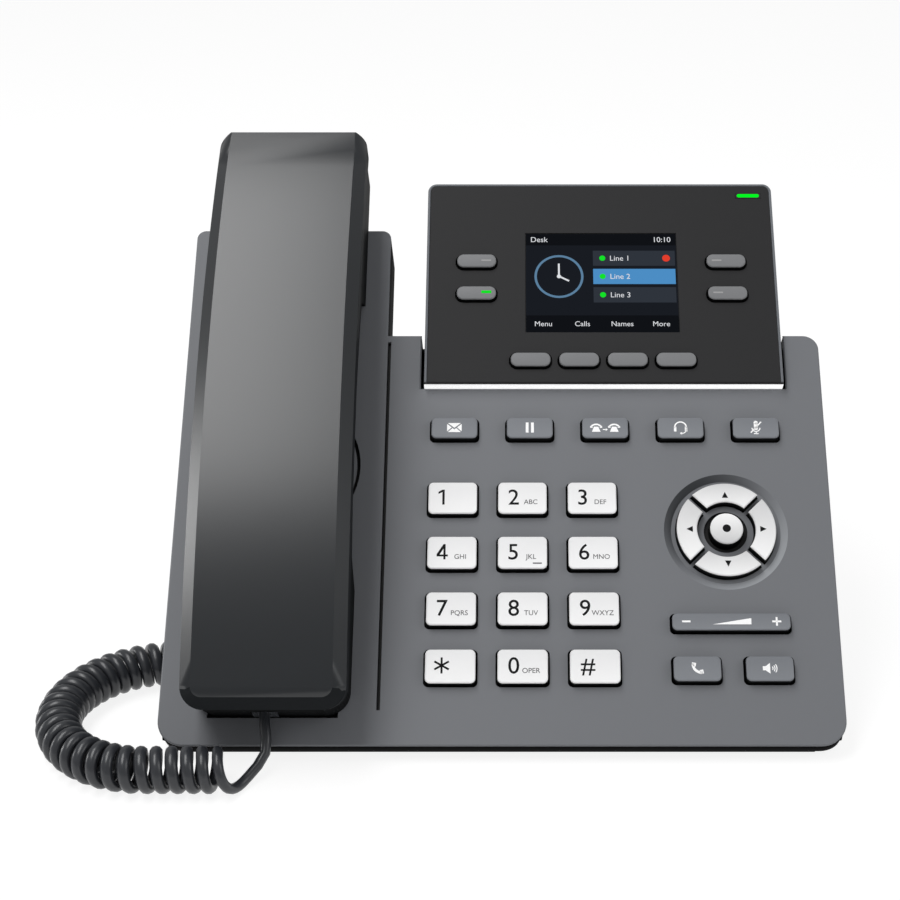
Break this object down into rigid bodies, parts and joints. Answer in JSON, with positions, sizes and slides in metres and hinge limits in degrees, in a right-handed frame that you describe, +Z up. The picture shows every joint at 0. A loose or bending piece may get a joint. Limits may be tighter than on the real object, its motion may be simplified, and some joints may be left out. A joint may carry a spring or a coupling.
{
  "type": "desk telephone",
  "caption": "Desk telephone with a corded handset in its cradle, a tilted colour display, white sprung keys, a ring of direction keys and a fold-out stand.",
  "frame": {"origin": "on the desk under the middle of the telephone, cords left out", "axes": "+X to the right as the user sees it, +Y away from the user, +Z up from the desk"},
  "size_m": [0.2469, 0.1711, 0.1629],
  "materials": {
    "deck_plastic": "fine texture",
    "dark_plastic": "fine texture",
    "rim_plastic": "satin",
    "fascia_plastic": "satin",
    "screen_glass": "gloss",
    "strip_plastic": "satin",
    "lamp_plastic": "clear",
    "key_plastic": "satin",
    "grey_key_plastic": "satin",
    "display_key_plastic": "satin",
    "mat_rubber": "matte",
    "foot_rubber": "matte",
    "circuit_board": "satin",
    "jack_plastic": "satin",
    "speaker_metal": "satin",
    "hook_plastic": "satin",
    "plug_plastic": "clear",
    "screw_steel": "satin",
    "handset_plastic": "fine texture",
    "handset_lower_plastic": "fine texture",
    "cord_vinyl": "gloss"
  },
  "bodies": {
    "base": {"front_housing": "deck_plastic", "rear_housing": "dark_plastic", "display_housing": "rim_plastic", "display_fascia": "fascia_plastic", "screen_module": "screen_glass", "accent_strip": "strip_plastic", "message_lamp": "lamp_plastic", "key_mat": "mat_rubber", "main_board": "circuit_board", "network_jacks": "jack_plastic", "audio_jacks": "jack_plastic", "power_jack": "jack_plastic", "loudspeaker": "speaker_metal", "cradle_tab": "deck_plastic", "base_plug": "plug_plastic", "housing_screws": "screw_steel", "stand": "dark_plastic", "rubber_feet": "foot_rubber", "handset_cord_lead": "cord_vinyl", "handset_cord_coil": "cord_vinyl", "handset_cord_tail": "cord_vinyl"},
    "handset": {"handset_upper_shell": "handset_plastic", "handset_lower_shell": "handset_lower_plastic", "earpiece_receiver": "speaker_metal", "handset_microphone": "speaker_metal", "handset_plug": "plug_plastic"},
    "hook": {"hook_switch": "hook_plastic"},
    "dial_key_1_body": {"dial_key_1": "key_plastic"},
    "dial_key_2_body": {"dial_key_2": "key_plastic"},
    "dial_key_3_body": {"dial_key_3": "key_plastic"},
    "dial_key_4_body": {"dial_key_4": "key_plastic"},
    "dial_key_5_body": {"dial_key_5": "key_plastic"},
    "dial_key_6_body": {"dial_key_6": "key_plastic"},
    "dial_key_7_body": {"dial_key_7": "key_plastic"},
    "dial_key_8_body": {"dial_key_8": "key_plastic"},
    "dial_key_9_body": {"dial_key_9": "key_plastic"},
    "dial_key_star_body": {"dial_key_star": "key_plastic"},
    "dial_key_0_body": {"dial_key_0": "key_plastic"},
    "dial_key_hash_body": {"dial_key_hash": "key_plastic"},
    "message_key_body": {"message_key": "grey_key_plastic"},
    "hold_key_body": {"hold_key": "grey_key_plastic"},
    "transfer_key_body": {"transfer_key": "grey_key_plastic"},
    "headset_key_body": {"headset_key": "grey_key_plastic"},
    "mute_key_body": {"mute_key": "grey_key_plastic"},
    "send_key_body": {"send_key": "grey_key_plastic"},
    "speaker_key_body": {"speaker_key": "grey_key_plastic"},
    "line_key_left_upper_body": {"line_key_left_upper": "display_key_plastic"},
    "line_key_left_lower_body": {"line_key_left_lower": "display_key_plastic"},
    "line_key_right_upper_body": {"line_key_right_upper": "display_key_plastic"},
    "line_key_right_lower_body": {"line_key_right_lower": "display_key_plastic"},
    "soft_key_1_body": {"soft_key_1": "display_key_plastic"},
    "soft_key_2_body": {"soft_key_2": "display_key_plastic"},
    "soft_key_3_body": {"soft_key_3": "display_key_plastic"},
    "soft_key_4_body": {"soft_key_4": "display_key_plastic"},
    "nav_key_right_body": {"nav_key_right": "key_plastic"},
    "nav_key_up_body": {"nav_key_up": "key_plastic"},
    "nav_key_left_body": {"nav_key_left": "key_plastic"},
    "nav_key_down_body": {"nav_key_down": "key_plastic"},
    "nav_key_ok_body": {"nav_key_ok": "key_plastic"},
    "volume_key_body": {"volume_key": "grey_key_plastic"}
  },
  "joints": [
    {"name": "dial_key_1_press", "type": "slide", "parent": "base", "child": "dial_key_1_body", "axis": [0, 0.682, -0.7314], "range_m": [0, 0.0016], "stiffness_N_per_m": 200},
    {"name": "dial_key_2_press", "type": "slide", "parent": "base", "child": "dial_key_2_body", "axis": [0, 0.682, -0.7314], "range_m": [0, 0.0016], "stiffness_N_per_m": 200},
    {"name": "dial_key_3_press", "type": "slide", "parent": "base", "child": "dial_key_3_body", "axis": [0, 0.682, -0.7314], "range_m": [0, 0.0016], "stiffness_N_per_m": 200},
    {"name": "dial_key_4_press", "type": "slide", "parent": "base", "child": "dial_key_4_body", "axis": [0, 0.682, -0.7314], "range_m": [0, 0.0016], "stiffness_N_per_m": 200},
    {"name": "dial_key_5_press", "type": "slide", "parent": "base", "child": "dial_key_5_body", "axis": [0, 0.682, -0.7314], "range_m": [0, 0.0016], "stiffness_N_per_m": 200},
    {"name": "dial_key_6_press", "type": "slide", "parent": "base", "child": "dial_key_6_body", "axis": [0, 0.682, -0.7314], "range_m": [0, 0.0016], "stiffness_N_per_m": 200},
    {"name": "dial_key_7_press", "type": "slide", "parent": "base", "child": "dial_key_7_body", "axis": [0, 0.682, -0.7314], "range_m": [0, 0.0016], "stiffness_N_per_m": 200},
    {"name": "dial_key_8_press", "type": "slide", "parent": "base", "child": "dial_key_8_body", "axis": [0, 0.682, -0.7314], "range_m": [0, 0.0016], "stiffness_N_per_m": 200},
    {"name": "dial_key_9_press", "type": "slide", "parent": "base", "child": "dial_key_9_body", "axis": [0, 0.682, -0.7314], "range_m": [0, 0.0016], "stiffness_N_per_m": 200},
    {"name": "dial_key_star_press", "type": "slide", "parent": "base", "child": "dial_key_star_body", "axis": [0, 0.682, -0.7314], "range_m": [0, 0.0016], "stiffness_N_per_m": 200},
    {"name": "dial_key_0_press", "type": "slide", "parent": "base", "child": "dial_key_0_body", "axis": [0, 0.682, -0.7314], "range_m": [0, 0.0016], "stiffness_N_per_m": 200},
    {"name": "dial_key_hash_press", "type": "slide", "parent": "base", "child": "dial_key_hash_body", "axis": [0, 0.682, -0.7314], "range_m": [0, 0.0016], "stiffness_N_per_m": 200},
    {"name": "message_key_press", "type": "slide", "parent": "base", "child": "message_key_body", "axis": [0, 0.682, -0.7314], "range_m": [0, 0.0016], "stiffness_N_per_m": 200},
    {"name": "hold_key_press", "type": "slide", "parent": "base", "child": "hold_key_body", "axis": [0, 0.682, -0.7314], "range_m": [0, 0.0016], "stiffness_N_per_m": 200},
    {"name": "transfer_key_press", "type": "slide", "parent": "base", "child": "transfer_key_body", "axis": [0, 0.682, -0.7314], "range_m": [0, 0.0016], "stiffness_N_per_m": 200},
    {"name": "headset_key_press", "type": "slide", "parent": "base", "child": "headset_key_body", "axis": [0, 0.682, -0.7314], "range_m": [0, 0.0016], "stiffness_N_per_m": 200},
    {"name": "mute_key_press", "type": "slide", "parent": "base", "child": "mute_key_body", "axis": [0, 0.682, -0.7314], "range_m": [0, 0.0016], "stiffness_N_per_m": 200},
    {"name": "send_key_press", "type": "slide", "parent": "base", "child": "send_key_body", "axis": [0, 0.682, -0.7314], "range_m": [0, 0.0016], "stiffness_N_per_m": 200},
    {"name": "speaker_key_press", "type": "slide", "parent": "base", "child": "speaker_key_body", "axis": [0, 0.682, -0.7314], "range_m": [0, 0.0016], "stiffness_N_per_m": 200},
    {"name": "line_key_left_upper_press", "type": "slide", "parent": "base", "child": "line_key_left_upper_body", "axis": [0, 0.682, -0.7314], "range_m": [0, 0.0016], "stiffness_N_per_m": 200},
    {"name": "line_key_left_lower_press", "type": "slide", "parent": "base", "child": "line_key_left_lower_body", "axis": [0, 0.682, -0.7314], "range_m": [0, 0.0016], "stiffness_N_per_m": 200},
    {"name": "line_key_right_upper_press", "type": "slide", "parent": "base", "child": "line_key_right_upper_body", "axis": [0, 0.682, -0.7314], "range_m": [0, 0.0016], "stiffness_N_per_m": 200},
    {"name": "line_key_right_lower_press", "type": "slide", "parent": "base", "child": "line_key_right_lower_body", "axis": [0, 0.682, -0.7314], "range_m": [0, 0.0016], "stiffness_N_per_m": 200},
    {"name": "soft_key_1_press", "type": "slide", "parent": "base", "child": "soft_key_1_body", "axis": [0, 0.682, -0.7314], "range_m": [0, 0.0016], "stiffness_N_per_m": 200},
    {"name": "soft_key_2_press", "type": "slide", "parent": "base", "child": "soft_key_2_body", "axis": [0, 0.682, -0.7314], "range_m": [0, 0.0016], "stiffness_N_per_m": 200},
    {"name": "soft_key_3_press", "type": "slide", "parent": "base", "child": "soft_key_3_body", "axis": [0, 0.682, -0.7314], "range_m": [0, 0.0016], "stiffness_N_per_m": 200},
    {"name": "soft_key_4_press", "type": "slide", "parent": "base", "child": "soft_key_4_body", "axis": [0, 0.682, -0.7314], "range_m": [0, 0.0016], "stiffness_N_per_m": 200},
    {"name": "nav_key_right_press", "type": "slide", "parent": "base", "child": "nav_key_right_body", "axis": [0, 0.682, -0.7314], "range_m": [0, 0.0016], "stiffness_N_per_m": 200},
    {"name": "nav_key_up_press", "type": "slide", "parent": "base", "child": "nav_key_up_body", "axis": [0, 0.682, -0.7314], "range_m": [0, 0.0016], "stiffness_N_per_m": 200},
    {"name": "nav_key_left_press", "type": "slide", "parent": "base", "child": "nav_key_left_body", "axis": [0, 0.682, -0.7314], "range_m": [0, 0.0016], "stiffness_N_per_m": 200},
    {"name": "nav_key_down_press", "type": "slide", "parent": "base", "child": "nav_key_down_body", "axis": [0, 0.682, -0.7314], "range_m": [0, 0.0016], "stiffness_N_per_m": 200},
    {"name": "nav_key_ok_press", "type": "slide", "parent": "base", "child": "nav_key_ok_body", "axis": [0, 0.682, -0.7314], "range_m": [0, 0.0016], "stiffness_N_per_m": 200},
    {"name": "volume_key_rock", "type": "hinge", "parent": "base", "child": "volume_key_body", "pos_m": [0.0704, -0.03821, 0.03028], "axis": [0, 0.7314, 0.682], "range_deg": [-2.5, 2.5], "stiffness_Nm_per_rad": 0.05},
    {"name": "handset_lift", "type": "slide", "parent": "base", "child": "handset", "axis": [0, -0.682, 0.7314], "range_m": [0, 0.09]},
    {"name": "hook_rise", "type": "slide", "parent": "base", "child": "hook", "axis": [0, -0.682, 0.7314], "range_m": [0, 0.0035]}
  ],
  "couplings": [
    {"joint": "hook_rise", "follows": "handset_lift", "ratio": 0.038889}
  ]
}
